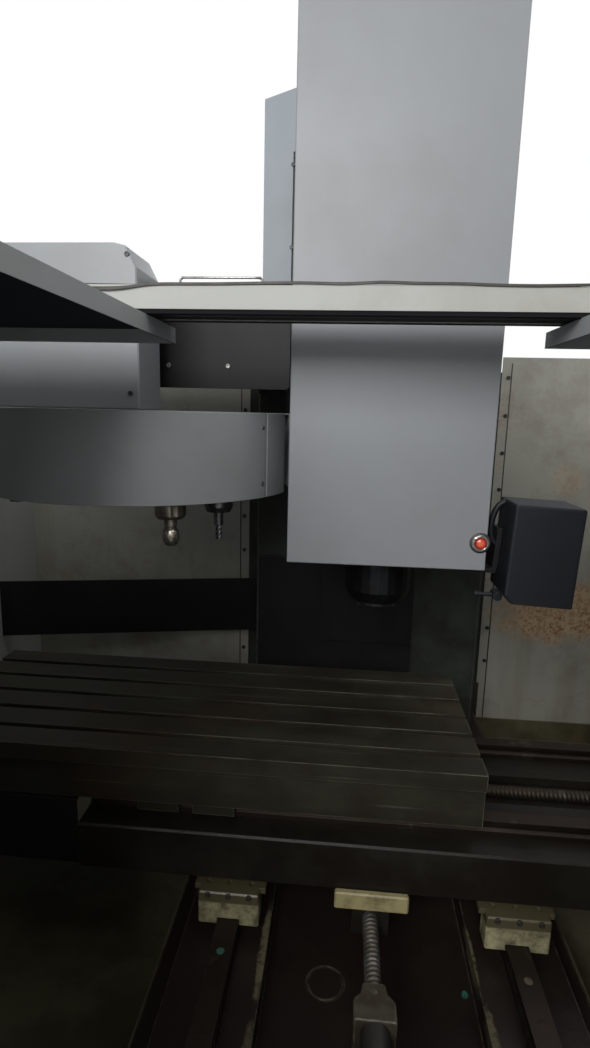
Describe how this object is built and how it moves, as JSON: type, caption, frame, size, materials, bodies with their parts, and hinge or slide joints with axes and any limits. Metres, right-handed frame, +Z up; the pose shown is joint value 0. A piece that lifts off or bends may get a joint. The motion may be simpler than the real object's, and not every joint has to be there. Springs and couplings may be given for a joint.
{
  "type": "cnc machining center",
  "caption": "Vertical machining center with a T-slotted table on a cross slide, spindle head on a column, side tool carousel and sliding doors.",
  "frame": {"origin": "on the floor, straight below the spindle axis, which is also the middle of the overall box", "axes": "+Z up, -Y towards the operator's doors, +X to the operator's right"},
  "size_m": [2.6, 2.6, 2.504],
  "materials": {
    "casting_green": "painted, worn and oily",
    "cover_white": "light grey paint, satin",
    "case_beige": "off-white paint, rust spots",
    "cover_blue": "blue-grey paint, satin",
    "sheet_black": "black paint, oily",
    "iron_machined": "machined, oily",
    "steel_bright": "ground",
    "steel_oiled": "ground, oiled",
    "plastic_cream": "moulded, stained",
    "motor_black": "black paint",
    "tray_dark": "paint under coolant film",
    "bracket_cast": "cast, machined edges",
    "box_black": "fine texture",
    "signal_red": "red moulding",
    "clear_sheet": "clear sheet",
    "plastic_dark": "dark moulding"
  },
  "bodies": {
    "frame": {"base_casting": "casting_green", "column_casting": "casting_green", "column_cover": "cover_blue", "z_way_cover": "sheet_black", "y_rail_left": "steel_oiled", "y_rail_right": "steel_oiled", "z_rail_left": "steel_oiled", "z_rail_right": "steel_oiled", "y_screw_bracket": "bracket_cast", "y_motor": "motor_black", "z_motor": "motor_black", "left_wall": "case_beige", "right_wall": "case_beige", "rear_wall_left": "case_beige", "rear_wall_right": "case_beige", "front_panel": "case_beige", "header_beam": "case_beige", "chip_tray": "tray_dark", "rear_guard": "sheet_black", "control_cabinet": "case_beige", "tc_bracket": "sheet_black", "pendant_arm": "case_beige"},
    "saddle": {"saddle_casting": "casting_green", "wiper_left": "plastic_cream", "wiper_right": "plastic_cream", "nut_bumper": "plastic_cream", "x_rail_front": "steel_oiled", "x_rail_rear": "steel_oiled", "x_cover_left": "sheet_black", "x_cover_right": "sheet_black", "x_motor": "motor_black"},
    "work_table": {"table": "iron_machined"},
    "cross_screw": {"x_screw": "steel_bright"},
    "saddle_screw": {"y_screw": "steel_bright"},
    "head_screw": {"z_screw": "steel_bright"},
    "head": {"head_casting": "casting_green", "head_cover": "cover_white", "z_apron": "sheet_black", "spindle_housing": "iron_machined", "spindle_motor": "motor_black", "coolant_bracket": "sheet_black", "coolant_box": "box_black", "button_bezel": "steel_bright"},
    "spindle_shaft": {"spindle": "steel_bright"},
    "release_plunger": {"release_button": "signal_red"},
    "nozzle": {"coolant_nozzle": "plastic_dark"},
    "changer": {"tc_box": "cover_white", "tc_cover": "cover_white"},
    "carousel": {"carousel_disc": "steel_oiled", "tool_end_mill": "steel_oiled", "tool_collet_nut": "steel_bright", "tool_square_shank": "steel_oiled"},
    "door_left": {"left_door": "case_beige", "left_window": "clear_sheet"},
    "door_right": {"right_door": "case_beige", "right_window": "clear_sheet"},
    "pendant": {"pendant_box": "cover_blue"},
    "stop_plunger": {"estop_button": "signal_red"},
    "hand_wheel": {"jog_wheel": "plastic_dark"},
    "door_cabinet": {"cabinet_door": "case_beige"}
  },
  "joints": [
    {"name": "saddle_y", "type": "slide", "parent": "frame", "child": "saddle", "axis": [0, 1, 0], "range_m": [-0.1525, 0.3555]},
    {"name": "table_x", "type": "slide", "parent": "saddle", "child": "work_table", "axis": [1, 0, 0], "range_m": [-0.111, 0.905]},
    {"name": "head_z", "type": "slide", "parent": "frame", "child": "head", "axis": [0, 0, 1], "range_m": [-0.135, 0.421]},
    {"name": "cross_screw_turn", "type": "hinge", "parent": "saddle", "child": "cross_screw", "pos_m": [0, -0.1015, 0.678], "axis": [1, 0, 0], "range_deg": [-4100, 32700]},
    {"name": "saddle_screw_turn", "type": "hinge", "parent": "frame", "child": "saddle_screw", "pos_m": [0, 0, 0.52], "axis": [0, 1, 0], "range_deg": [-5600, 12900]},
    {"name": "head_screw_turn", "type": "hinge", "parent": "frame", "child": "head_screw", "pos_m": [0, 0.58, 1.16], "axis": [0, 0, 1], "range_deg": [-5000, 15300]},
    {"name": "spindle_spin", "type": "hinge", "parent": "head", "child": "spindle_shaft", "pos_m": [0, 0, 1.0947], "axis": [0, 0, 1], "continuous": true},
    {"name": "release_button_press", "type": "slide", "parent": "head", "child": "release_plunger", "axis": [0, 1, 0], "range_m": [0, 0.003], "stiffness_N_per_m": 400, "springref_m": -0.003},
    {"name": "nozzle_swing", "type": "hinge", "parent": "head", "child": "nozzle", "pos_m": [0.2271, -0.21, 1.1895], "axis": [0, 1, 0], "range_deg": [-20, 25]},
    {"name": "changer_slide", "type": "slide", "parent": "frame", "child": "changer", "axis": [1, 0, 0], "range_m": [0, 0.018]},
    {"name": "carousel_spin", "type": "hinge", "parent": "changer", "child": "carousel", "pos_m": [-0.57, 0, 1.4], "axis": [0, 0, 1], "continuous": true},
    {"name": "left_door_slide", "type": "slide", "parent": "frame", "child": "door_left", "axis": [1, 0, 0], "range_m": [-0.2, 0.4065]},
    {"name": "right_door_slide", "type": "slide", "parent": "frame", "child": "door_right", "axis": [1, 0, 0], "range_m": [-0.2535, 0.353]},
    {"name": "pendant_swing", "type": "hinge", "parent": "frame", "child": "pendant", "pos_m": [1.1, -1.207, 1.53], "axis": [0, 0, 1], "range_deg": [-40, 40]},
    {"name": "estop_press", "type": "slide", "parent": "pendant", "child": "stop_plunger", "axis": [0, 1, 0], "range_m": [0, 0.005]},
    {"name": "hand_wheel_turn", "type": "hinge", "parent": "pendant", "child": "hand_wheel", "pos_m": [1.1525, -1.267, 1.21], "axis": [0, 1, 0], "continuous": true},
    {"name": "cabinet_door_swing", "type": "hinge", "parent": "frame", "child": "door_cabinet", "pos_m": [0.5, 1.3, 0.35], "axis": [0, 0, -1], "range_deg": [0, 110]}
  ],
  "couplings": [
    {"joint": "cross_screw_turn", "follows": "table_x", "rad_per_m": 628.32},
    {"joint": "saddle_screw_turn", "follows": "saddle_y", "rad_per_m": 628.32},
    {"joint": "head_screw_turn", "follows": "head_z", "rad_per_m": 628.32}
  ]
}
